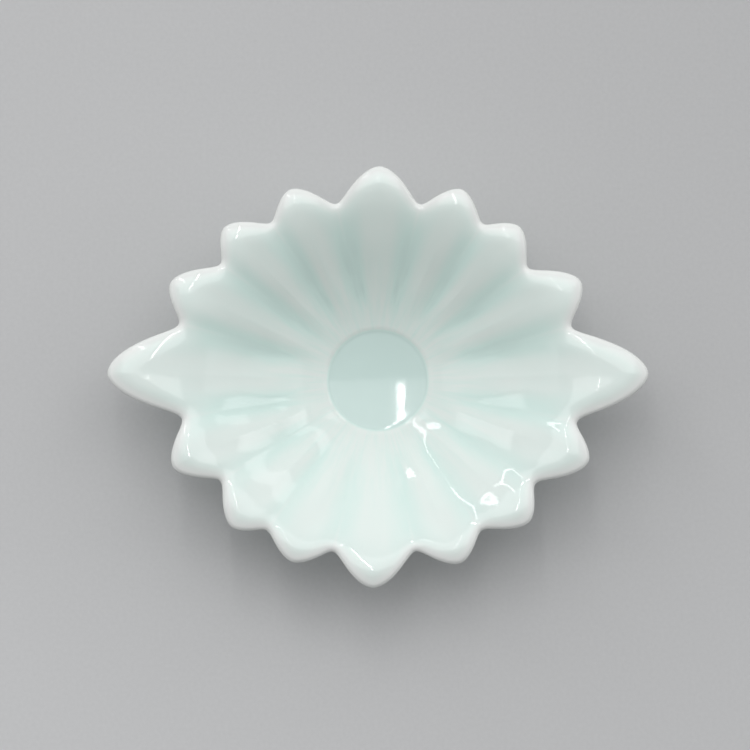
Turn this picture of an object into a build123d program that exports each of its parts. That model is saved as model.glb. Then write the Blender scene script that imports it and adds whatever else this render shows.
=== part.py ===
from build123d import *
import math
import os

# Mixing palette: a small porcelain dish like an open flower, with sixteen petals, a round well
# in the middle and a foot ring underneath, under a coat of celadon glaze.
# Millimetres, +Z up. The origin is on the surface that the dish stands on, under its middle.
# The surfaces below are those of the finished, glazed dish; the clay body lies a glaze coat inside.

# Driving dimensions
# One row for each petal, anticlockwise from +X: the angle and radius of its tip, the angle and
# radius of the notch that follows it, and the depth of the dent that the thumb left in the petal.
# Every petal was pressed by hand, so no two are equal.
PETALS = (
    (0.6, 75.0, 14.5, 55.5, 0.3),
    (25.0, 62.2, 36.0, 51.6, 0.2),
    (46.5, 57.2, 55.5, 51.5, 0.15),
    (65.5, 57.0, 76.3, 49.4, 0.15),
    (89.5, 58.5, 103.5, 49.6, 0.2),
    (115.5, 57.4, 124.6, 52.2, 0.15),
    (135.8, 59.4, 144.3, 53.8, 0.2),
    (155.8, 63.1, 165.0, 57.0, 0.2),
    (179.3, 75.0, 192.2, 55.6, 0.3),
    (203.7, 62.0, 213.7, 52.4, 0.45),
    (225.7, 58.1, 234.2, 52.6, 0.5),
    (244.8, 56.6, 255.6, 50.1, 0.7),
    (268.7, 58.5, 282.2, 49.6, 0.2),
    (294.0, 56.5, 304.0, 51.4, 0.7),
    (316.0, 58.1, 325.5, 52.8, 0.4),
    (338.0, 62.9, 347.0, 56.6, 0.35),
)
PETAL_POWER = 1.6        # how the outline falls from a tip to a notch
TIP_ROUNDING = 0.1       # share of a petal's half width that is rounded at its tip
NOTCH_ROUNDING = 0.4     # share of a petal's height that is rounded off in its notch

POOL_RADIUS = 13.4       # where the well's dished floor turns up into its side
POOL_DISH = 0.5          # how much the floor rises from its middle to there
WELL_DEPTH = 1.5         # from the start of the petals down to the middle of the floor
RING_RADIUS = 15.4       # where the well's side ends and the petals begin
RING_SLOPE = 0.36        # how steeply the well's side ends
WELL_RADII = (4.0, 9.0, 12.4, 13.4, 14.1, 14.8)
RING_HEIGHT = 9.4        # height of the dish there
CREST_HEIGHT = 32.6      # highest line of the petals' middles
CREST_START = 31.8       # the crest's radius is this, and a share of the tip's radius
CREST_SHARE = 0.41
END_DROOP = 0.0045       # how the petals' ends bend down beyond the crest, per millimetre
WALL_START = 0.64        # steepness of the wall where the petals begin, where 1 is its mean slope

CREASE_DEPTH = 0.8       # how far the creases between petals lie under the petals' middles
CREASE_POWER = 2.0       # how a petal's back curves down into its creases
TIP_CREASE_POWER = 5.0   # and how it does near the lip, where the creases are narrower
CREASE_ROUNDING = 0.5    # share of a petal's half width that is rounded off in a crease
CREASE_FULL = 0.45       # share of the way from ring to lip where the creases reach that depth
POOLED_GLAZE = 0.3       # extra glaze that has pooled in the creases
DENT_PLACE = 0.72        # share of the way from ring to lip where the dents are deepest
DENT_LENGTH = 0.16
EDGE_DROOP = 1.7         # how far a petal's edge rolls down
EDGE_WIDTH = 7.8         # how wide the rolled edge is at a petal's tip
EDGE_NARROWING = 0.35    # how much narrower it is in the notches, as a share
LIP_RADIUS = 1.7         # roundness of the lip on a petal
LIP_NOTCH_RADIUS = 1.35  # roundness of the lip in a notch
FOOT_THICKNESS = 6.0     # upright thickness of the wall near the foot
FOOT_FLARE = 1.9         # how much more the wall thickens where it meets the foot
FLARE_WIDTH = 0.3        # share of the way from foot to lip over which it does

BASE_RADIUS = 20.0       # where the outside wall meets the foot
FOOT_RADIUS = 19.1       # outside of the foot ring, where it meets the body
FOOT_BEARING_RADIUS = 18.6
FOOT_INNER_RADIUS = 15.4
FOOT_BEARING_INNER = 16.2
BASE_HEIGHT = 3.6        # underside of the glazed base above the table
FOOT_ROUNDING = 0.5      # rounding of the bearing edge
FOOT_BARE = 0.9          # height of the bare edge of the foot, below the glaze
GLAZE = 0.45             # thickness of the coat of glaze
WALL_GLAZE = 0.56        # its upright thickness on the sloping wall
WELL_GLAZE = 0.8         # its thickness on the well's floor, where it has pooled
POOL_INNER = 10.0        # where that pool starts to thin out towards the wall

INSIDE_STEPS = (0.1, 0.22, 0.36, 0.5, 0.64, 0.76, 0.86, 0.94, 1.0)
OUTSIDE_STEPS = (0.1, 0.22, 0.36, 0.5, 0.64, 0.76, 0.86, 0.94, 1.0)
LIP_TURNS = (60, 30, 0, -30, -60)
POINTS_PER_PETAL = 10



def petal_at(angle):
    """The petal that an angle lies in, and how far across it is: 0 at the tip, 1 at a crease."""
    angle = angle % 360
    for index, (tip, _, notch_after, _, _) in enumerate(PETALS):
        notch_before = PETALS[index - 1][2]
        if index == 0:
            notch_before -= 360
        here = angle - 360 if index == 0 and angle > 180 else angle
        if notch_before <= here < notch_after:
            side = notch_after - tip if here > tip else tip - notch_before
            notch = index if here > tip else index - 1
            return index, notch, abs(here - tip) / side
    return 0, len(PETALS) - 1, 1.0


def outline_radius(angle):
    """Radius of the dish's outline, seen from above."""
    index, notch, across = petal_at(angle)
    tip_radius = PETALS[index][1]
    notch_radius = PETALS[notch][3]
    bottom = TIP_ROUNDING ** PETAL_POWER
    top = (1 + TIP_ROUNDING ** 2) ** (PETAL_POWER / 2)
    fall = ((across ** 2 + TIP_ROUNDING ** 2) ** (PETAL_POWER / 2) - bottom) / (top - bottom)
    rounded = math.hypot(1 - fall, NOTCH_ROUNDING) - NOTCH_ROUNDING
    height = rounded / (math.hypot(1, NOTCH_ROUNDING) - NOTCH_ROUNDING)
    return notch_radius + (tip_radius - notch_radius) * height


def tip_envelope(angle):
    """Radius of a smooth curve through the petals' tips, which sets how wide the wall is spread."""
    angle = angle % 360
    tips = [(row[0], row[1]) for row in PETALS]
    tips.append((PETALS[0][0] + 360, PETALS[0][1]))
    if angle < tips[0][0]:
        angle += 360
    for (start, start_radius), (end, end_radius) in zip(tips, tips[1:]):
        if start <= angle <= end:
            share = (1 - math.cos(math.pi * (angle - start) / (end - start))) / 2
            return start_radius + (end_radius - start_radius) * share
    return tips[0][1]


def outline_point(angle, inset):
    """A point of the outline moved inwards, square to the outline."""
    step = 0.05
    here = Vector(outline_radius(angle), 0).rotate(Axis.Z, angle)
    before = Vector(outline_radius(angle - step), 0).rotate(Axis.Z, angle - step)
    after = Vector(outline_radius(angle + step), 0).rotate(Axis.Z, angle + step)
    along = (after - before).normalized()
    outwards = Vector(along.Y, -along.X)
    return here - outwards * inset, outwards


def smooth(share):
    """Smooth step from 0 to 1 as share goes from 0 to 1."""
    share = min(1.0, max(0.0, share))
    return share * share * (3 - 2 * share)


def crease_share(angle, share):
    """How far the surface has fallen into a crease: 0 at a petal's middle, 1 in the crease.

    share is how far out the place is, from 0 where the petals begin to 1 at the lip.
    """
    _, _, across = petal_at(angle)
    rounded = 1 + CREASE_ROUNDING - math.hypot(1 - across, CREASE_ROUNDING)
    power = CREASE_POWER + (TIP_CREASE_POWER - CREASE_POWER) * smooth((share - 0.4) / 0.45)
    return max(0.0, rounded) ** power


def dent_depth(angle, share):
    """Depth of the dent that a thumb pressed into the petal."""
    index, _, across = petal_at(angle)
    along = math.exp(-((share - DENT_PLACE) / DENT_LENGTH) ** 2)
    return PETALS[index][4] * along * max(0.0, 1 - across ** 2) ** 2


def wall_height(radius, angle):
    """Height of the inside at a radius, before creases, dents and rolled edges are taken off."""
    crest = CREST_START + CREST_SHARE * tip_envelope(angle)
    rise = min(1.0, max(0.0, (radius - RING_RADIUS) / (crest - RING_RADIUS)))
    start = rise ** 3 - 2 * rise ** 2 + rise
    climb = 3 * rise ** 2 - 2 * rise ** 3
    bend = END_DROOP * max(0.0, radius - crest) ** 2
    return RING_HEIGHT + (CREST_HEIGHT - RING_HEIGHT) * (WALL_START * start + climb) - bend


def lip_radius(angle):
    """Roundness of the lip, which is finer in a notch."""
    return LIP_RADIUS - (LIP_RADIUS - LIP_NOTCH_RADIUS) * crease_share(angle, 1.0)


def wall_points(angle, step, clay, start_radius=RING_RADIUS):
    """Place of the wall at a share of the way from a circle to the lip, and its two heights.

    clay is False for the glazed surface and True for the clay under it.
    """
    lip = lip_radius(angle)
    edge, outwards = outline_point(angle, lip)
    start = Vector(start_radius, 0).rotate(Axis.Z, angle)
    place = start + (edge - start) * step
    from_edge = lip + (1 - step) * (edge - start).dot(outwards)
    share = (place.length - RING_RADIUS) / (edge.length - RING_RADIUS)
    place_angle = math.degrees(math.atan2(place.Y, place.X))
    crease = crease_share(place_angle, share)
    depth = CREASE_DEPTH * smooth(share / CREASE_FULL)
    _, _, across = petal_at(place_angle)
    narrow = 1 - EDGE_NARROWING * across
    droop = EDGE_DROOP * narrow * max(0.0, 1 - from_edge / (EDGE_WIDTH * narrow)) ** 3
    upper = wall_height(place.length, place_angle) - depth * crease - droop
    upper -= dent_depth(place_angle, share)
    petal = 2 * LIP_RADIUS + (FOOT_THICKNESS - 2 * LIP_RADIUS) * (1 - share ** 4)
    under_crease = 2 * LIP_NOTCH_RADIUS + (FOOT_THICKNESS - 2 * LIP_NOTCH_RADIUS) * max(0, 1 - share) ** 1.5
    lower = upper - petal - (under_crease - petal) * crease
    lower -= FOOT_FLARE * max(0.0, 1 - step / FLARE_WIDTH) ** 2
    if clay:
        upper -= WALL_GLAZE + POOLED_GLAZE * smooth(share / CREASE_FULL) * crease * (1 - share ** 8)
        lower += WALL_GLAZE
    return place, upper, lower


def inside_section(step, clay):
    """Closed curve round the inside wall, one edge for each petal."""
    def point(angle):
        place, upper, _ = wall_points(angle, step, clay)
        return Vector(place.X, place.Y, upper)
    return petal_wire(point)


def outside_section(step, clay):
    """Closed curve round the outside wall, one edge for each petal."""
    def point(angle):
        place, _, lower = wall_points(angle, step, clay, start_radius=BASE_RADIUS)
        return Vector(place.X, place.Y, lower)
    return petal_wire(point)


def lip_section(turn, clay):
    """Closed curve round the lip; turn is 90 at the top of the lip and -90 under it."""
    def point(angle):
        _, upper, lower = wall_points(angle, 1, clay)
        radius = lip_radius(angle) - (GLAZE if clay else 0)
        across = radius * math.cos(math.radians(turn))
        place, _ = outline_point(angle, lip_radius(angle) - across)
        height = (upper + lower) / 2 + (upper - lower) / 2 * math.sin(math.radians(turn))
        return Vector(place.X, place.Y, height)
    return petal_wire(point)


def petal_wire(point):
    """Wire of one spline for each petal, from notch to notch, through point(angle)."""
    shares = [k / POINTS_PER_PETAL for k in range(POINTS_PER_PETAL + 1)]
    edges = []
    for index, row in enumerate(PETALS):
        start = PETALS[index - 1][2] - (360 if index == 0 else 0)
        points = [point(start + (row[2] - start) * share) for share in shares]
        edges.append(Edge.make_spline(points, parameters=shares))
    return Wire(edges)


def round_wire(radius, height):
    """Circle cut into one edge for each petal, to match the other sections."""
    return petal_wire(lambda angle: Vector(radius, 0, height).rotate(Axis.Z, angle))


def well_section(radius, clay):
    """Circle round the well: on its dished floor, or on the side that turns up into the wall."""
    floor = RING_HEIGHT - WELL_DEPTH
    corner = floor + POOL_DISH
    width = RING_RADIUS - POOL_RADIUS
    share = (radius - POOL_RADIUS) / width
    if share < 0:
        height = floor + POOL_DISH * (radius / POOL_RADIUS) ** 2
    else:
        start = share ** 3 - 2 * share ** 2 + share
        climb = 3 * share ** 2 - 2 * share ** 3
        end = share ** 3 - share ** 2
        floor_slope = 2 * POOL_DISH / POOL_RADIUS
        height = corner + (RING_HEIGHT - corner) * climb
        height += width * (floor_slope * start + RING_SLOPE * end)
    if clay:
        thinning = smooth((radius - POOL_INNER) / (RING_RADIUS - POOL_INNER))
        height -= WELL_GLAZE - (WELL_GLAZE - WALL_GLAZE) * thinning
    return round_wire(radius, height)


def dish(clay):
    """The dish without its foot: glazed, or the clay alone."""
    base = BASE_HEIGHT + (GLAZE if clay else 0)
    sections = [well_section(radius, clay) for radius in WELL_RADII]
    sections += [well_section(RING_RADIUS, clay)]
    sections += [inside_section(step, clay) for step in INSIDE_STEPS]
    sections += [lip_section(turn, clay) for turn in LIP_TURNS]
    sections += [outside_section(step, clay) for step in reversed(OUTSIDE_STEPS)]
    sections += [round_wire(BASE_RADIUS - (GLAZE if clay else 0), base)]
    return Solid.make_loft(sections)


def turned(points):
    """Solid of revolution round the dish's axis, from the corners of its section."""
    with BuildPart() as shape:
        with BuildSketch(Plane.XZ):
            with BuildLine():
                Polyline(*points, close=True)
            make_face()
        revolve(axis=Axis.Z)
    return shape.part.solid()


def make_foot_ring():
    """Tapered ring with a rounded, bare bearing edge."""
    top = BASE_HEIGHT + GLAZE
    ring = turned([
        (FOOT_INNER_RADIUS, top), (FOOT_RADIUS, top), (FOOT_BEARING_RADIUS, 0), (FOOT_BEARING_INNER, 0),
    ])
    bearing = [e for e in ring.edges() if e.center().Z < 0.01 and e.geom_type == GeomType.CIRCLE]
    return ring.fillet(FOOT_ROUNDING, bearing).solid()


def make_foot_coat(foot_ring):
    """Glaze that runs down both sides of the foot and stops above its bare edge."""
    top = BASE_HEIGHT + GLAZE
    low = FOOT_BARE
    outer_low = FOOT_BEARING_RADIUS + (FOOT_RADIUS - FOOT_BEARING_RADIUS) * low / top
    inner_low = FOOT_BEARING_INNER + (FOOT_INNER_RADIUS - FOOT_BEARING_INNER) * low / top
    block = turned([
        (FOOT_INNER_RADIUS - GLAZE, top), (FOOT_RADIUS + GLAZE, top),
        (outer_low + GLAZE / 2, low), (inner_low - GLAZE / 2, low),
    ])
    return block.cut(foot_ring)


def main():
    os.makedirs("parts", exist_ok=True)
    clay = dish(clay=True)
    glazed = dish(clay=False)
    foot_ring = make_foot_ring()
    coat = glazed.cut(clay, foot_ring).fuse(*make_foot_coat(foot_ring).solids())
    pieces = sorted(coat.solids(), key=lambda piece: piece.volume)
    export_step(clay, "parts/porcelain_body.step")
    export_step(foot_ring, "parts/foot_ring.step")
    export_step(pieces[-1], "parts/celadon_glaze.step")
    export_step(pieces[0], "parts/base_glaze.step")


if __name__ == "__main__":
    main()
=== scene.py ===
import math

import bpy
import numpy as np
from mathutils import Matrix, Vector, noise


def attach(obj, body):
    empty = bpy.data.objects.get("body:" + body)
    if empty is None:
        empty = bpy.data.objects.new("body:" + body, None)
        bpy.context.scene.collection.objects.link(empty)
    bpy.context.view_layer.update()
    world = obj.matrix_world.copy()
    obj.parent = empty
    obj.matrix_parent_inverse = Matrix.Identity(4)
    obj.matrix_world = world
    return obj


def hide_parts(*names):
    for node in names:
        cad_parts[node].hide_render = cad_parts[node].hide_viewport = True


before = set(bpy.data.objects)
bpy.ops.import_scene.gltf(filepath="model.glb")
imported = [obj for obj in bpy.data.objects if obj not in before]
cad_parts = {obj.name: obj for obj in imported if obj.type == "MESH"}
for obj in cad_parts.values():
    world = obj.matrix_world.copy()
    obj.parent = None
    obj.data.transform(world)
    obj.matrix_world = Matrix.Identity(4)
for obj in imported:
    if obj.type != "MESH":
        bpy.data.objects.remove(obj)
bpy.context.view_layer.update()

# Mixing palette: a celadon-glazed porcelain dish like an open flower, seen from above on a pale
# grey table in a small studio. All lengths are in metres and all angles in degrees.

# Camera
VIEW_ELEVATION = 87.0      # nearly straight down, leaning towards -Y
VIEW_WIDTH = 0.2076        # how much the picture takes in from side to side, at the lip's height
LENS = 200.0               # millimetres, as is the sensor's width
SENSOR = 36.0
LIP_LEVEL = 0.030
VIEW_MIDDLE = (-0.0008, 0.0004)    # what the middle of the picture shows

# Outline of the dish: one row for each petal, anticlockwise from +X. Tip angle and radius, the
# angle and radius of the notch that follows it, and the depth of the thumb's dent in the petal.
# They are the CAD model's.
PETALS = (
    (0.6, 0.0750, 14.5, 0.0555, 0.0003),
    (25.0, 0.0622, 36.0, 0.0516, 0.0002),
    (46.5, 0.0572, 55.5, 0.0515, 0.00015),
    (65.5, 0.0570, 76.3, 0.0494, 0.00015),
    (89.5, 0.0585, 103.5, 0.0496, 0.0002),
    (115.5, 0.0574, 124.6, 0.0522, 0.00015),
    (135.8, 0.0594, 144.3, 0.0538, 0.0002),
    (155.8, 0.0631, 165.0, 0.0570, 0.0002),
    (179.3, 0.0750, 192.2, 0.0556, 0.0003),
    (203.7, 0.0620, 213.7, 0.0524, 0.00045),
    (225.7, 0.0581, 234.2, 0.0526, 0.0005),
    (244.8, 0.0566, 255.6, 0.0501, 0.0007),
    (268.7, 0.0585, 282.2, 0.0496, 0.0002),
    (294.0, 0.0565, 304.0, 0.0514, 0.0007),
    (316.0, 0.0581, 325.5, 0.0528, 0.0004),
    (338.0, 0.0629, 347.0, 0.0566, 0.00035),
)
TIP_ANGLES, TIP_RADII, NOTCH_ANGLES, NOTCH_RADII, DENT_DEPTHS = np.array(PETALS).T
PETAL_POWER = 1.6
TIP_ROUNDING = 0.1
NOTCH_ROUNDING = 0.4

# Sections of the dish, as in the CAD model
POOL_RADIUS = 0.0134       # where the well's floor turns up into the wall
POOL_DISH = 0.0005
WELL_DEPTH = 0.0015
RING_RADIUS = 0.0154       # where the petals begin
RING_SLOPE = 0.36
RING_HEIGHT = 0.0094
CREST_HEIGHT = 0.0326
CREST_START = 0.0318       # the crest's radius is this, and a share of the tip's radius
CREST_SHARE = 0.41
END_DROOP = 4.5            # per metre: how the petals' ends bend down beyond the crest
WALL_START = 0.64
CREASE_DEPTH = 0.0008
CREASE_POWER = 2.0
TIP_CREASE_POWER = 5.0
CREASE_ROUNDING = 0.5
CREASE_FULL = 0.45
DENT_PLACE = 0.72
DENT_LENGTH = 0.16
EDGE_DROOP = 0.0017
EDGE_WIDTH = 0.0078
EDGE_NARROWING = 0.35
LIP_RADIUS = 0.0017
LIP_NOTCH_RADIUS = 0.00135
FOOT_THICKNESS = 0.0060
FOOT_FLARE = 0.0019
FLARE_WIDTH = 0.3
BASE_RADIUS = 0.0200
BASE_HEIGHT = 0.0036
FOOT_LINE = 0.0009         # where the glaze ends on the foot
FOOT_SIDE = 0.01872        # the foot's radius there
GLAZE = 0.00045
WELL_GLAZE = 0.0008
POOL_INNER = 0.0100
WALL_GLAZE = 0.00056

# Fineness of the glaze's mesh
COLUMNS_PER_PETAL = 32
NOTCH_CROWDING = 0.05      # how much closer together they are near the notches
LIP_ARC = 162.0            # how far the lip's round goes, from under it to where the inside begins
SKIP = 4                   # one column of the hidden side for this many of the seen side
WELL_ROWS = 30
WALL_ROWS = 52
LIP_ROWS = 12
OUTSIDE_ROWS = 34
FOOT_ROWS = 5
COARSE = 3                 # one row of the hidden side for this many of the seen side

# Hand-pressed unevenness of the seen side, and the finger marks on the petals towards -Y
WAVE_SEED = 1
WAVE_SIZE = 0.011
WAVE_HEIGHT = 0.00013
WELL_WAVES = 0.15          # share of the waves' height that is left in the well
WAVE_START = 0.004         # how far beyond the well's floor they get to their full height
MARK_SIZE = 0.0090
MARK_HEIGHT = 0.00003
MARK_RADII = (0.022, 0.037)    # where the marks begin, and where they are at their full height
MARK_SIDE = 0.025          # how far towards -Y they are at their full height

# How thickly the glaze lies, where 0 is bare white and 1 is the pool in the well; on the petals towards
# -Y it also carries painted light and shade
RIM_START = 0.0006         # from the lip's edge to where the film of glaze begins
RIM_WIDTH = 0.0036         # from there to where it has its full thickness
FILM_DEPTH = 0.42
RING_DEPTH = 0.05          # more of it in a ring round the well
RING_PLACE = 0.14
RING_WIDTH = 0.16
POOLED_DEPTH = 0.42        # more of it in the creases, between these shares of the way
POOLED_ACROSS = (0.25, 0.90)   # across the petal
POOLED_OUT = (-0.05, 0.35)     # and of the way out
POOLED_FALL = 0.38         # how much less that is at the well and at the lip than halfway
CREASE_RIM = 0.008         # how far in from the lip that is in full
CREASE_LINE = 0.11         # paler along the line of a crease, near the lip
LINE_ACROSS = (0.93, 1.0)
LINE_OUT = (0.6, 0.9)
PETAL_ENDS = (0.7, 0.9)    # a petal's end, as shares of the way out
PAINTED_LIGHT_SIDE = 0.03          # painted light and shade, in full this far towards -Y, where the petals differ from the others: the film is deeper by this share, painted light that makes the lit side paler, with this added to it at the petals' ends, painted shade where they face away from the light, and the glaze in the creases is deeper by this share, painted light again
PAINTED_LIGHT_FILM = -0.12         # the film is deeper by this share,
PAINTED_SHADE_ENDS = 0.2           # with this added to it at the petals' ends,
PAINTED_LIGHT_POOLED = -0.35       # and the glaze in the creases is deeper by this share
WELL_EDGE_DEPTH = 0.36
WELL_EDGE_RADII = (0.0137, 0.0147)
FOOT_DEPTH = 0.75          # at the foot's edge
FOOT_FALL = 0.3            # how much less it is at the top of the foot
OUTSIDE_DEPTH = 0.5
OUTSIDE_RIM = 0.006        # how far in from the lip the outside's film has its full thickness
OUTSIDE_LOW = 0.25         # more of it beside the foot
OUTSIDE_CREASES = 0.25     # more of it under the creases


def make_camera():
    data = bpy.data.cameras.new("camera")
    data.lens = LENS
    data.sensor_width = SENSOR
    camera = bpy.data.objects.new("camera", data)
    bpy.context.scene.collection.objects.link(camera)
    target = Vector((*VIEW_MIDDLE, LIP_LEVEL))
    elevation = math.radians(VIEW_ELEVATION)
    back = Vector((0, -math.cos(elevation), math.sin(elevation)))
    camera.location = target + back * (VIEW_WIDTH * LENS / SENSOR)
    camera.rotation_euler = (-back).to_track_quat("-Z", "Y").to_euler()
    bpy.context.scene.camera = camera


# The dish's surface

def smooth(share):
    share = np.clip(share, 0, 1)
    return share * share * (3 - 2 * share)


def rise(value, low, high):
    """0 up to low, 1 from high on, and smooth in between."""
    return smooth((value - low) / (high - low))


def petal_index(angle):
    """Which petal each angle lies in."""
    return np.searchsorted(NOTCH_ANGLES, np.mod(angle, 360), side="right") % len(PETALS)


def petal_values(angle):
    """Tip radius, notch radius and how far across its petal each angle lies: 0 tip, 1 crease."""
    angle = np.mod(angle, 360)
    index = petal_index(angle)
    turned = np.where((index == 0) & (angle > 180), angle - 360, angle)
    tip = TIP_ANGLES[index]
    after = turned > tip
    before_notch = np.where(index == 0, NOTCH_ANGLES[-1] - 360, NOTCH_ANGLES[index - 1])
    reach = np.where(after, NOTCH_ANGLES[index] - tip, tip - before_notch)
    across = np.abs(turned - tip) / reach
    notch_radius = np.where(after, NOTCH_RADII[index], NOTCH_RADII[index - 1])
    return TIP_RADII[index], notch_radius, across


def dent_depth(angle, share):
    """Depth of the dent that a thumb pressed into each petal."""
    _, _, across = petal_values(angle)
    along = np.exp(-((share - DENT_PLACE) / DENT_LENGTH) ** 2)
    return DENT_DEPTHS[petal_index(angle)] * along * np.maximum(0, 1 - across ** 2) ** 2


def outline_radius(angle):
    tip_radius, notch_radius, across = petal_values(angle)
    bottom = TIP_ROUNDING ** PETAL_POWER
    top = (1 + TIP_ROUNDING ** 2) ** (PETAL_POWER / 2)
    fall = ((across ** 2 + TIP_ROUNDING ** 2) ** (PETAL_POWER / 2) - bottom) / (top - bottom)
    rounded = np.hypot(1 - fall, NOTCH_ROUNDING) - NOTCH_ROUNDING
    height = rounded / (math.hypot(1, NOTCH_ROUNDING) - NOTCH_ROUNDING)
    return notch_radius + (tip_radius - notch_radius) * height


def tip_envelope(angle):
    """Radius of a smooth curve through the petals' tips."""
    tips = np.append(TIP_ANGLES, TIP_ANGLES[0] + 360)
    radii = np.append(TIP_RADII, TIP_RADII[0])
    turned = np.mod(angle, 360)
    turned = np.where(turned < tips[0], turned + 360, turned)
    index = np.clip(np.searchsorted(tips, turned, side="right") - 1, 0, len(PETALS) - 1)
    share = (1 - np.cos(np.pi * (turned - tips[index]) / (tips[index + 1] - tips[index]))) / 2
    return radii[index] + (radii[index + 1] - radii[index]) * share


def polar(radius, angle):
    turn = np.radians(angle)
    return np.stack((radius * np.cos(turn), radius * np.sin(turn)), axis=-1)


def outline_point(angle, inset):
    """Points of the outline moved inwards, square to it, and the outline's outward normals."""
    step = 0.05
    here = polar(outline_radius(angle), angle)
    along = polar(outline_radius(angle + step), angle + step)
    along = along - polar(outline_radius(angle - step), angle - step)
    along /= np.linalg.norm(along, axis=-1, keepdims=True)
    outwards = np.stack((along[:, 1], -along[:, 0]), axis=-1)
    return here - outwards * np.asarray(inset).reshape(-1, 1), outwards


def crease_share(angle, share):
    """0 at a petal's middle, 1 in the crease beside it. The creases are narrower near the lip."""
    _, _, across = petal_values(angle)
    rounded = 1 + CREASE_ROUNDING - np.hypot(1 - across, CREASE_ROUNDING)
    power = CREASE_POWER + (TIP_CREASE_POWER - CREASE_POWER) * smooth((share - 0.4) / 0.45)
    return np.maximum(0, rounded) ** power


def lip_radius(angle):
    return LIP_RADIUS - (LIP_RADIUS - LIP_NOTCH_RADIUS) * crease_share(angle, 1.0)


def cubic_weights(share):
    """What the slope at the start, the climb and the slope at the end each add to a cubic curve."""
    start = share ** 3 - 2 * share ** 2 + share
    climb = 3 * share ** 2 - 2 * share ** 3
    end = share ** 3 - share ** 2
    return start, climb, end


def wall_height(radius, angle):
    crest = CREST_START + CREST_SHARE * tip_envelope(angle)
    start, climb, _ = cubic_weights(np.clip((radius - RING_RADIUS) / (crest - RING_RADIUS), 0, 1))
    bend = END_DROOP * np.maximum(0, radius - crest) ** 2
    return RING_HEIGHT + (CREST_HEIGHT - RING_HEIGHT) * (WALL_START * start + climb) - bend


def wall_points(angle, step, start_radius=RING_RADIUS):
    """Places on the wall and the heights of its two sides there; how far in from the edge and how
    far out towards it they are, in metres and as a share; and how deep in a crease."""
    lip = lip_radius(angle)
    edge, outwards = outline_point(angle, lip)
    start = polar(start_radius, angle)
    place = start + (edge - start) * step
    from_edge = lip + (1 - step) * np.sum((edge - start) * outwards, axis=-1)
    radius = np.linalg.norm(place, axis=-1)
    share = (radius - RING_RADIUS) / (np.linalg.norm(edge, axis=-1) - RING_RADIUS)
    place_angle = np.degrees(np.arctan2(place[:, 1], place[:, 0]))
    crease = crease_share(place_angle, share)
    depth = CREASE_DEPTH * smooth(share / CREASE_FULL)
    _, _, across = petal_values(place_angle)
    narrow = 1 - EDGE_NARROWING * across
    droop = EDGE_DROOP * narrow * np.maximum(0, 1 - from_edge / (EDGE_WIDTH * narrow)) ** 3
    upper = wall_height(radius, place_angle) - depth * crease - droop - dent_depth(place_angle, share)
    petal = 2 * LIP_RADIUS + (FOOT_THICKNESS - 2 * LIP_RADIUS) * (1 - share ** 4)
    thin = 2 * LIP_NOTCH_RADIUS
    under_crease = thin + (FOOT_THICKNESS - thin) * np.maximum(0, 1 - share) ** 1.5
    lower = upper - petal - (under_crease - petal) * crease
    lower -= FOOT_FLARE * max(0.0, 1 - step / FLARE_WIDTH) ** 2
    return place, upper, lower, from_edge, share, crease


def inside_glaze_and_painted_light(place, from_edge, share, crease):
    """How thickly the glaze lies on the petals' inside, where share is how far out they have come, with
    painted light and shade added on the petals towards -Y.
    """
    # where the painted light and shade on the petals towards -Y are in full
    painted_light_side = smooth(-place[:, 1] / PAINTED_LIGHT_SIDE)
    _, _, across = petal_values(np.degrees(np.arctan2(place[:, 1], place[:, 0])))
    rim = RIM_WIDTH * (1 - EDGE_NARROWING * across)
    ends = rise(share, *PETAL_ENDS)
    film = FILM_DEPTH * smooth((from_edge - RIM_START) / rim)
    # painted light and shade: a thinner, paler film on the lit petals towards -Y, and a deeper one at
    # their ends, which face away from the light
    film *= 1 + (PAINTED_LIGHT_FILM + PAINTED_SHADE_ENDS * ends) * painted_light_side
    ring = RING_DEPTH * np.exp(-((share - RING_PLACE) / RING_WIDTH) ** 2) * (1 - crease)
    in_crease = rise(across, *POOLED_ACROSS) * rise(share, *POOLED_OUT) * smooth(from_edge / CREASE_RIM)
    halfway = 1 - POOLED_FALL * (1 - np.sin(np.pi * np.clip(share, 0, 1)))
    # painted light: less glaze in the creases of the lit petals towards -Y
    pooled = POOLED_DEPTH * in_crease * halfway * (1 + PAINTED_LIGHT_POOLED * painted_light_side)
    line = CREASE_LINE * rise(across, *LINE_ACROSS) * rise(share, *LINE_OUT)
    return film + ring + pooled - line


def ring_of(place, height, depth):
    """One ring of the surface: its points, and how thickly the glaze lies at each."""
    points = np.column_stack((place, np.broadcast_to(height, len(place))))
    return points, np.broadcast_to(depth, len(place))


def foot_rings(angle, clay, rows):
    radius_low = FOOT_SIDE + (0 if clay else GLAZE / 2)
    radius_high = BASE_RADIUS - (GLAZE if clay else 0)
    for k in range(rows):
        share = k / rows
        height = FOOT_LINE + (BASE_HEIGHT - FOOT_LINE) * share
        radius = radius_low + (radius_high - radius_low) * share ** 3
        yield ring_of(polar(radius, angle), height, FOOT_DEPTH - FOOT_FALL * share)


def outside_rings(angle, clay, rows):
    for k in range(rows):
        step = (k / rows) ** 1.15
        place, _, lower, from_edge, _, crease = wall_points(angle, step, BASE_RADIUS)
        if k == 0:
            lower = np.full(len(angle), BASE_HEIGHT)
        height = lower + (WALL_GLAZE if clay else 0)
        film = OUTSIDE_DEPTH * smooth(from_edge / OUTSIDE_RIM) + OUTSIDE_LOW * (1 - step) ** 6
        creases = OUTSIDE_CREASES * crease * smooth(from_edge / CREASE_RIM)
        yield ring_of(place, height, film + creases)


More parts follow.
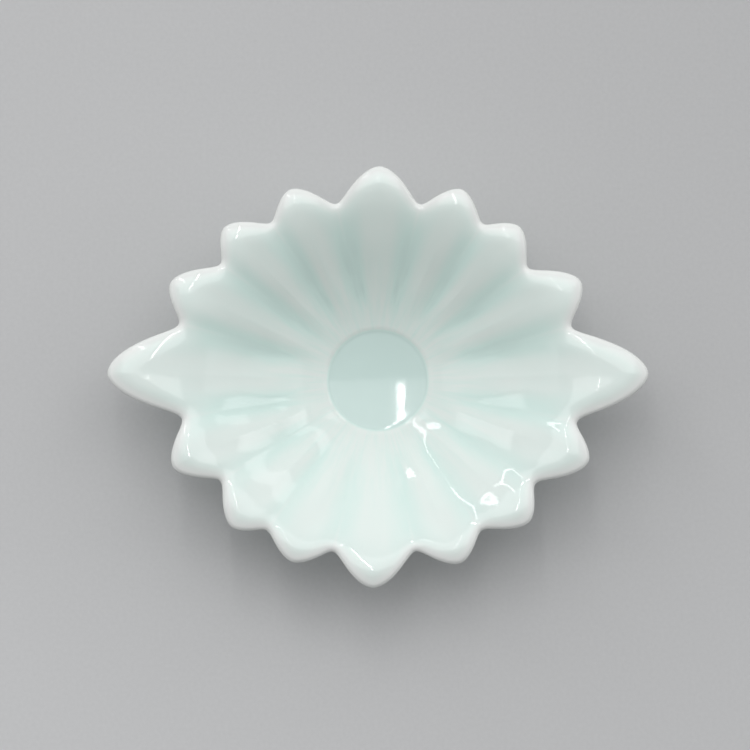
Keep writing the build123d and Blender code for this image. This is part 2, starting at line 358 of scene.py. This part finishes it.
def lip_rings(angle, clay, rows):
    _, upper, lower, _, _, _ = wall_points(angle, 1.0)
    lip = lip_radius(angle)
    round_by = lip - (GLAZE if clay else 0)
    for k in range(rows + 1):
        turn = math.radians(-90 + LIP_ARC * k / rows)
        place, _ = outline_point(angle, lip - round_by * math.cos(turn))
        height = (upper + lower) / 2 + round_by * math.sin(turn)
        yield ring_of(place, height, 0.0)


def inside_rings(angle, clay, rows):
    for k in range(rows):
        step = 1 - (k + 0.3) / rows
        place, upper, _, from_edge, share, crease = wall_points(angle, step)
        height = upper - (WALL_GLAZE if clay else 0)
        yield ring_of(place, height, inside_glaze_and_painted_light(place, from_edge, share, crease))


def well_height(radius):
    """Height of the dished floor, and of the side that turns up from it into the wall."""
    floor = RING_HEIGHT - WELL_DEPTH
    corner = floor + POOL_DISH
    if radius < POOL_RADIUS:
        return floor + POOL_DISH * (radius / POOL_RADIUS) ** 2
    width = RING_RADIUS - POOL_RADIUS
    start, climb, end = cubic_weights((radius - POOL_RADIUS) / width)
    floor_slope = 2 * POOL_DISH / POOL_RADIUS
    return corner + (RING_HEIGHT - corner) * climb + width * (floor_slope * start + RING_SLOPE * end)


def well_glaze(radius):
    """Upright thickness of the glaze in the well, where it has pooled."""
    return WELL_GLAZE - (WELL_GLAZE - WALL_GLAZE) * rise(radius, POOL_INNER, RING_RADIUS)


def well_rings(angle, clay, rows):
    """From the start of the petals down the well's side to the middle of its dished floor."""
    for k in range(rows):
        radius = RING_RADIUS * (1 - k / rows) ** 0.8
        height = well_height(radius) - (well_glaze(radius) if clay else 0)
        depth = 1 - (1 - WELL_EDGE_DEPTH) * rise(radius, *WELL_EDGE_RADII)
        yield ring_of(polar(radius, angle), height, depth)


def glaze_side(angle, clay, coarse):
    """Points of one side of the glaze, from the foot's edge over the lip to the middle of the well;
    how thickly it lies at each; and the number of rings that they form."""
    rings = []
    rings += foot_rings(angle, clay, max(2, FOOT_ROWS // coarse))
    rings += outside_rings(angle, clay, OUTSIDE_ROWS // coarse)
    rings += lip_rings(angle, clay, LIP_ROWS // coarse)
    rings += inside_rings(angle, clay, WALL_ROWS // coarse)
    rings += well_rings(angle, clay, WELL_ROWS // coarse)
    points = np.concatenate([ring[0] for ring in rings])
    depth = np.concatenate([ring[1] for ring in rings])
    middle = RING_HEIGHT - WELL_DEPTH - (WELL_GLAZE if clay else 0)
    points = np.vstack((points, (0, 0, middle)))
    return points, np.append(depth, 1.0), len(rings)


def column_angles():
    """Angles of the mesh's columns, petal after petal."""
    angles = []
    start = NOTCH_ANGLES[-1] - 360
    share = np.arange(COLUMNS_PER_PETAL) / COLUMNS_PER_PETAL
    share = share - NOTCH_CROWDING * np.sin(2 * np.pi * share)
    for notch in NOTCH_ANGLES:
        angles.append(start + (notch - start) * share)
        start = notch
    return np.concatenate(angles)


def grid_faces(first, rings, columns, flip):
    """Quads between rings, and triangles round the last point, which closes the last ring."""
    faces = []
    for row in range(rings - 1):
        low = first + row * columns
        for k in range(columns):
            after = (k + 1) % columns
            faces.append((low + k, low + after, low + columns + after, low + columns + k))
    last = first + (rings - 1) * columns
    faces += [(last + k, last + (k + 1) % columns, first + rings * columns) for k in range(columns)]
    return [face[::-1] for face in faces] if flip else faces


def unevenness(points):
    """Moves of the points: hand-pressed waves all over, and finger marks on some petals."""
    noise.seed_set(WAVE_SEED)
    waves = np.array([noise.noise_vector(Vector(point) / WAVE_SIZE) for point in points])
    marks = np.array([noise.noise_vector(Vector(point) / MARK_SIZE) for point in points])
    radius = np.linalg.norm(points[:, :2], axis=1)
    on_wall = smooth((radius - POOL_RADIUS) / WAVE_START)
    wave_height = WAVE_HEIGHT * (WELL_WAVES + (1 - WELL_WAVES) * on_wall)
    mark_height = MARK_HEIGHT * smooth(-points[:, 1] / MARK_SIDE) * rise(radius, *MARK_RADII)
    return waves * wave_height[:, None] + marks * mark_height[:, None]


def make_glaze():
    """The coat of glaze as a closed shell: its seen side, its hidden side, and its edge at the foot."""
    angle = column_angles()
    seen, depth, rings = glaze_side(angle, False, 1)
    seen = seen + unevenness(seen)
    hidden, hidden_depth, hidden_rings = glaze_side(angle[::SKIP], True, COARSE)
    columns, hidden_columns, first = len(angle), len(angle) // SKIP, len(seen)
    faces = grid_faces(0, rings, columns, flip=False)
    faces += grid_faces(first, hidden_rings, hidden_columns, flip=True)
    for k in range(hidden_columns):
        outer = [(k * SKIP + j) % columns for j in range(SKIP + 1)]
        faces.append([first + k, first + (k + 1) % hidden_columns] + outer[::-1])
    mesh = bpy.data.meshes.new("glaze")
    mesh.from_pydata(np.vstack((seen, hidden)).tolist(), [], [list(face) for face in faces])
    # the glaze's depth, with the painted light and shade on the petals towards -Y
    attribute = mesh.attributes.new("glaze_depth_and_painted_light", "FLOAT", "POINT")
    attribute.data.foreach_set("value", np.concatenate((depth, hidden_depth)).astype(np.float32))
    mesh.shade_smooth()
    mesh.validate()
    glaze = bpy.data.objects.new("glaze_coat", mesh)
    bpy.context.scene.collection.objects.link(glaze)
    glaze.data.materials.append(glaze_material())
    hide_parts("celadon_glaze")
    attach(glaze, "root")


# Materials

class Nodes:
    """The node tree of a material or world, with short ways to add and join nodes."""

    def __init__(self, owner):
        self.owner = owner
        owner.use_nodes = True
        self.tree = owner.node_tree

    def add(self, kind, inputs=None, **settings):
        node = self.tree.nodes.new(kind)
        for key, value in settings.items():
            setattr(node, key, value)
        for key, value in (inputs or {}).items():
            self.put(node.inputs[key], value)
        return node

    def put(self, socket, value):
        if isinstance(value, bpy.types.NodeSocket):
            self.tree.links.new(value, socket)
        else:
            socket.default_value = value

    def math(self, operation, first, second=0.0):
        return self.add("ShaderNodeMath", {0: first, 1: second}, operation=operation).outputs[0]

    def vector(self, operation, first, second=(0, 0, 0)):
        return self.add("ShaderNodeVectorMath", {0: first, 1: second}, operation=operation).outputs[0]

    def place(self):
        return self.add("ShaderNodeTexCoord").outputs["Object"]

    def noise(self, place, scale, detail=2.0, roughness=0.5):
        inputs = {"Vector": place, "Scale": scale, "Detail": detail, "Roughness": roughness}
        return self.add("ShaderNodeTexNoise", inputs).outputs["Fac"]

    def ramp(self, value, stops):
        node = self.add("ShaderNodeValToRGB", {"Fac": value})
        elements = node.color_ramp.elements
        for index, (position, colour) in enumerate(stops):
            element = elements[index] if index < 2 else elements.new(position)
            element.position = position
            element.color = (*colour, 1)
        return node.outputs["Color"]

    def between(self, value, low, high, to_low=0.0, to_high=1.0):
        inputs = {"Value": value, "From Min": low, "From Max": high, "To Min": to_low, "To Max": to_high}
        return self.add("ShaderNodeMapRange", inputs, interpolation_type="SMOOTHSTEP").outputs[0]

    def from_axis(self, place):
        """The level part of a place, and its distance from the dish's axis."""
        level = self.vector("MULTIPLY", place, (1, 1, 0))
        return level, self.add("ShaderNodeVectorMath", {0: level}, operation="LENGTH").outputs["Value"]

    def cloudy(self, depth, place, scale, strength):
        """A depth of glaze made uneven by soft patches."""
        patches = self.math("SUBTRACT", self.noise(place, scale, detail=3.0), 0.5)
        return self.math("ADD", depth, self.math("MULTIPLY", patches, strength))

    def finish(self, bump=None, **sockets):
        surface = self.tree.nodes["Principled BSDF"]
        for name, value in sockets.items():
            self.put(surface.inputs[name.replace("_", " ")], value)
        if bump:
            height, distance = bump
            node = self.add("ShaderNodeBump", {"Height": height, "Distance": distance, "Strength": 1.0})
            self.put(surface.inputs["Normal"], node.outputs[0])
        return self.owner


WHITE = (0.775, 0.79, 0.765)        # bare porcelain showing through thin glaze
PALE = (0.735, 0.805, 0.765)
GREEN = (0.645, 0.79, 0.74)
DEEP = (0.575, 0.71, 0.67)          # glaze pooled as deep as it gets
GLAZE_IOR = 1.52
RIPPLE_SCALE = 380.0                # waves of the glaze's skin per metre
RIPPLE_HEIGHT = 0.000012
GRAIN_SCALE = 2600.0
GRAIN_SHARE = 0.05
RAYS_AROUND = 16                    # how fine the streaks are round the dish, and outwards
RAYS_OUTWARDS = 110.0
STREAK_STRENGTHS = (0.8, 0.12)      # the streaks' strength at the two fading radii
FADING_RADII = (0.016, 0.042)
STREAKS_BEGIN = (0.0138, 0.0152)    # the radii between which they begin
GLAZE_ROUGHNESS = (0.035, 0.065)
CLAY_DARK = (0.70, 0.66, 0.58)
CLAY_LIGHT = (0.82, 0.79, 0.72)
CLAY_ROUGHNESS = (0.55, 0.8)
TOASTED = (0.62, 0.40, 0.24, 1)
TOASTED_HEIGHTS = (0.0002, 0.0010)  # where the toasting begins, and where it is in full


def glaze_colour(nodes, depth):
    return nodes.ramp(depth, ((0.0, WHITE), (0.38, PALE), (0.75, GREEN), (1.0, DEEP)))


def glaze_material():
    """Celadon: white where it has run thin, greener where it has pooled, with faint streaks, and with the
    painted light and shade that the mesh carries on the petals towards -Y.
    """
    nodes = Nodes(bpy.data.materials.new("celadon_glaze"))
    place = nodes.place()
    depth = nodes.add("ShaderNodeAttribute", attribute_name="glaze_depth_and_painted_light").outputs["Fac"]
    level, radius = nodes.from_axis(place)
    outwards = nodes.vector("MULTIPLY", nodes.vector("NORMALIZE", level), (RAYS_AROUND, RAYS_AROUND, 0))
    along = nodes.add("ShaderNodeCombineXYZ", {"Z": nodes.math("MULTIPLY", radius, RAYS_OUTWARDS)})
    ray = nodes.vector("ADD", outwards, along.outputs[0])
    streak = nodes.math("SUBTRACT", nodes.noise(ray, 1.0, detail=3.0), 0.5)
    strength = nodes.between(radius, *FADING_RADII, *STREAK_STRENGTHS)
    outside_well = nodes.between(radius, *STREAKS_BEGIN)
    streak = nodes.math("MULTIPLY", nodes.math("MULTIPLY", streak, strength), outside_well)
    depth = nodes.cloudy(nodes.math("ADD", depth, streak), place, scale=70.0, strength=0.16)
    grain = nodes.math("MULTIPLY", nodes.noise(place, GRAIN_SCALE, detail=1.0), GRAIN_SHARE)
    skin = nodes.math("ADD", nodes.noise(place, RIPPLE_SCALE), grain)
    roughness = nodes.between(nodes.noise(place, 140.0), 0.3, 0.7, *GLAZE_ROUGHNESS)
    colour = glaze_colour(nodes, depth)
    return nodes.finish(
        bump=(skin, RIPPLE_HEIGHT), Base_Color=colour, Roughness=roughness, IOR=GLAZE_IOR,
    )


def base_glaze_material():
    """The patch inside the foot, thicker towards its corner."""
    nodes = Nodes(bpy.data.materials.new("base_glaze"))
    place = nodes.place()
    _, radius = nodes.from_axis(place)
    depth = nodes.between(radius, 0.009, 0.0155, 0.4, 0.8)
    colour = glaze_colour(nodes, nodes.cloudy(depth, place, scale=120.0, strength=0.25))
    skin = nodes.noise(place, RIPPLE_SCALE)
    return nodes.finish(bump=(skin, 0.00002), Base_Color=colour, Roughness=0.07, IOR=GLAZE_IOR)


def bare_porcelain_material(name, toast):
    """Unglazed fired porcelain: grainy, and toasted in patches by the kiln beside the glaze."""
    nodes = Nodes(bpy.data.materials.new(name))
    place = nodes.place()
    grain = nodes.noise(place, 1800.0, detail=4.0)
    patches = nodes.between(nodes.noise(place, 160.0, detail=3.0), 0.35, 0.6)
    height = nodes.add("ShaderNodeSeparateXYZ", {0: place}).outputs["Z"]
    toasted = nodes.math("MULTIPLY", nodes.between(height, *TOASTED_HEIGHTS), patches)
    toasted = nodes.math("MULTIPLY", toasted, toast)
    plain = nodes.ramp(grain, ((0.25, CLAY_DARK), (0.75, CLAY_LIGHT)))
    inputs = {"Factor": toasted, "A": plain, "B": TOASTED}
    colour = nodes.add("ShaderNodeMix", inputs, data_type="RGBA").outputs["Result"]
    roughness = nodes.between(grain, 0, 1, *CLAY_ROUGHNESS)
    return nodes.finish(bump=(grain, 0.00004), Base_Color=colour, Roughness=roughness)


def finish_cad_nodes():
    materials = {
        "porcelain_body": bare_porcelain_material("clay_body", 0.0),
        "foot_ring": bare_porcelain_material("bare_porcelain", 0.8),
        "base_glaze": base_glaze_material(),
    }
    for name, material in materials.items():
        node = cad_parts[name]
        node.data.materials.clear()
        node.data.materials.append(material)


# Stage and light. A light's place is given by its azimuth from +X, its tilt from straight up and its
# distance from the dish's middle.

FLOOR_REACH = 3.0          # from the middle to the sides
PAPER_DARK = (0.45, 0.45, 0.45)
PAPER_LIGHT = (0.58, 0.58, 0.58)
PAINTED_LIGHT_REACH = 0.12         # how far out the painted light goes on changing
PAINTED_LIGHT_TONES = {"Y": (0.60, 0.12), "X": (0.15, -0.17)}    # painted light, lighter towards -Y and -X: from one side to the other
ROOM_LIGHT = 0.19
GLOW_LIGHT = 0.60
GLOW_DIRECTION = (0, 0.8, 0.64)
GLOW_SIDES = 0.35          # how far the glow spreads to both sides
GLOW_EDGE = 0.2            # where it has faded, as the cosine of the angle from its middle
SOFTBOX = (90, (3, 38))    # azimuth, and the tilts of its two edges
SOFTBOX_DISTANCE = 1.15
SOFTBOX_WIDTH = 1.5
SOFTBOX_RADIANCE = 1.31
SIDE_PANELS = ((180, (44, 78)), (0, (50, 78)))
SIDE_DISTANCE = 1.3
SIDE_WIDTH = 0.5
SIDE_RADIANCE = 1.9
TUBE_CORNERS = ((-0.068, 0.075, 1.1), (-0.075, 0.24, 1.07), (-0.10, 0.75, 0.85))    # from the lip's level
TUBE_WIDTH = 0.0055
TUBE_RADIANCE = 88
WINDOW_CORNERS = ((122, 38), (132, 58), (121, 67), (120, 77))    # a bent slit: azimuths and tilts
WINDOW_DISTANCE = 1.1
WINDOW_WIDTH = 0.038
WINDOW_RADIANCE = 7.0
LAMPS = ((24, (61, 73)), (46, (61, 73)), (157, (65, 77)))
LAMP_DISTANCE = 1.243
LAMP_WIDTH = 0.28
LAMP_RADIANCE = 4.0
HARD_EDGED = (1.0,)
SOFT_EDGED = (1.0, 0.75, 0.5)    # sizes of nested lights, which together fade towards the edges
SKY_COLOUR = (0.96, 0.975, 1.0, 1)


def make_floor():
    """A table of pale paper with fine fibres, and painted light: lighter towards -Y and -X."""
    nodes = Nodes(bpy.data.materials.new("paper"))
    place = nodes.place()
    sides = nodes.add("ShaderNodeSeparateXYZ", {0: place}).outputs
    fibres_and_painted_light = nodes.math("MULTIPLY", nodes.noise(place, 900.0, detail=4.0), 0.4)
    # painted light: lighter towards -Y, over the dish's shadow, and towards -X, where more light comes
    # from
    for axis, painted_tones in PAINTED_LIGHT_TONES.items():
        painted_light = nodes.between(sides[axis], -PAINTED_LIGHT_REACH, PAINTED_LIGHT_REACH, *painted_tones)
        fibres_and_painted_light = nodes.math("ADD", fibres_and_painted_light, painted_light)
    colour = nodes.ramp(fibres_and_painted_light, ((0.0, PAPER_DARK), (1.0, PAPER_LIGHT)))
    material = nodes.finish(Base_Color=colour, Roughness=0.9, Specular_IOR_Level=0.2)
    mesh = bpy.data.meshes.new("floor")
    corners = [(x * FLOOR_REACH, y * FLOOR_REACH, 0) for x, y in ((-1, -1), (1, -1), (1, 1), (-1, 1))]
    mesh.from_pydata(corners, [], [(0, 1, 2, 3)])
    floor = bpy.data.objects.new("floor", mesh)
    bpy.context.scene.collection.objects.link(floor)
    floor.data.materials.append(material)


def make_area_light(name, start, end, width, radiance):
    """A rectangular light with its middle line from start to end, facing the dish."""
    start, end = Vector(start), Vector(end)
    along = (end - start).normalized()
    middle = (start + end) / 2
    across = along.cross(middle).normalized()
    away = across.cross(along)
    data = bpy.data.lights.new(name, "AREA")
    data.shape = "RECTANGLE"
    data.size, data.size_y = width, (end - start).length
    data.energy = radiance * math.pi * data.size * data.size_y
    light = bpy.data.objects.new(name, data)
    bpy.context.scene.collection.objects.link(light)
    light.location = middle + Vector((0, 0, LIP_LEVEL))
    light.rotation_euler = Matrix((across, along, away)).transposed().to_euler()


def make_tube(name, corners, width, radiance):
    """Straight lengths of light from corner to corner."""
    for start, end in zip(corners, corners[1:]):
        make_area_light(name, start, end, width, radiance)


def place_at(azimuth, tilt, distance):
    turn, lean = math.radians(azimuth), math.radians(tilt)
    out = distance * math.sin(lean)
    return Vector((out * math.cos(turn), out * math.sin(turn), distance * math.cos(lean)))


def make_panel(name, direction, distance, width, radiance, sizes):
    """A flat light between two tilts, made of one light of each size, nested one in the other."""
    azimuth, tilts = direction
    reach = distance / math.cos(math.radians(tilts[1] - tilts[0]) / 2)
    start, end = (place_at(azimuth, tilt, reach) for tilt in tilts)
    middle = (start + end) / 2
    for size in sizes:
        half = (end - start) / 2 * size
        make_area_light(name, middle - half, middle + half, width * size, radiance / len(sizes))


def make_lights():
    make_panel("softbox", SOFTBOX, SOFTBOX_DISTANCE, SOFTBOX_WIDTH, SOFTBOX_RADIANCE, HARD_EDGED)
    for direction in SIDE_PANELS:
        make_panel("side", direction, SIDE_DISTANCE, SIDE_WIDTH, SIDE_RADIANCE, SOFT_EDGED)
    make_tube("tube", TUBE_CORNERS, TUBE_WIDTH, TUBE_RADIANCE)
    corners = [place_at(azimuth, tilt, WINDOW_DISTANCE) for azimuth, tilt in WINDOW_CORNERS]
    make_tube("window", corners, WINDOW_WIDTH, WINDOW_RADIANCE)
    for direction in LAMPS:
        make_panel("lamp", direction, LAMP_DISTANCE, LAMP_WIDTH, LAMP_RADIANCE, SOFT_EDGED)


def make_sky():
    """Even light from the room, and a wide glow that fades away from its direction."""
    world = bpy.data.worlds.new("studio")
    bpy.context.scene.world = world
    nodes = Nodes(world)
    direction = nodes.add("ShaderNodeTexCoord").outputs["Generated"]
    middle = Vector(GLOW_DIRECTION).normalized()
    towards = nodes.add("ShaderNodeVectorMath", {0: direction, 1: middle}, operation="DOT_PRODUCT")
    sideways = nodes.add("ShaderNodeSeparateXYZ", {0: direction}).outputs["X"]
    sideways = nodes.math("MULTIPLY", nodes.math("ABSOLUTE", sideways), GLOW_SIDES)
    towards = nodes.math("ADD", towards.outputs["Value"], sideways)
    background = world.node_tree.nodes["Background"]
    strength = nodes.between(towards, GLOW_EDGE, 1.0, ROOM_LIGHT, ROOM_LIGHT + GLOW_LIGHT)
    nodes.put(background.inputs["Color"], SKY_COLOUR)
    nodes.put(background.inputs["Strength"], strength)


make_camera()
make_floor()
make_lights()
make_sky()
bpy.context.scene.view_settings.view_transform = "Standard"
finish_cad_nodes()
make_glaze()

bpy.context.view_layer.update()
